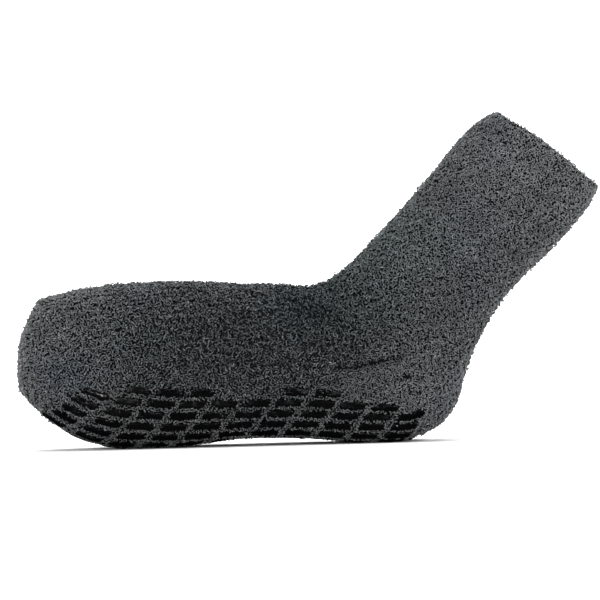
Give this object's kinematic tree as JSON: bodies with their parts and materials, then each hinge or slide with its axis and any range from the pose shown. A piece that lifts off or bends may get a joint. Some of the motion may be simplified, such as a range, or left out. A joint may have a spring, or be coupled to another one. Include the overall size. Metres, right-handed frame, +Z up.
{
  "type": "slipper sock",
  "caption": "Fluffy knitted slipper sock, hollow and open at its leaning cuff, with rubber grip bricks printed under the sole and up its sides.",
  "frame": {"origin": "middle of the bounding box, on the floor under the sole", "axes": "+X from the toe to the heel and cuff, +Y to the far side of the picture, +Z up from the floor"},
  "size_m": [0.3274, 0.0684, 0.1822],
  "materials": {
    "knit": "charcoal fluffy chenille knit, matt",
    "thread": "charcoal linking thread, matt",
    "rubber": "glossy black printed rubber"
  },
  "bodies": {
    "root": {"sock_body": "knit", "toe_seam": "thread", "grip_row_01_ball": "rubber", "grip_row_01_heel": "rubber", "grip_row_02": "rubber", "grip_row_03": "rubber", "grip_row_04": "rubber", "grip_row_05": "rubber", "grip_row_06": "rubber", "grip_row_07": "rubber", "grip_row_08": "rubber", "grip_row_09": "rubber", "grip_row_10": "rubber", "grip_row_11": "rubber", "grip_row_12": "rubber", "grip_row_13": "rubber", "grip_row_14": "rubber", "grip_row_15": "rubber", "grip_row_16": "rubber", "grip_row_17_ball": "rubber", "grip_row_17_heel": "rubber"}
  },
  "joints": []
}
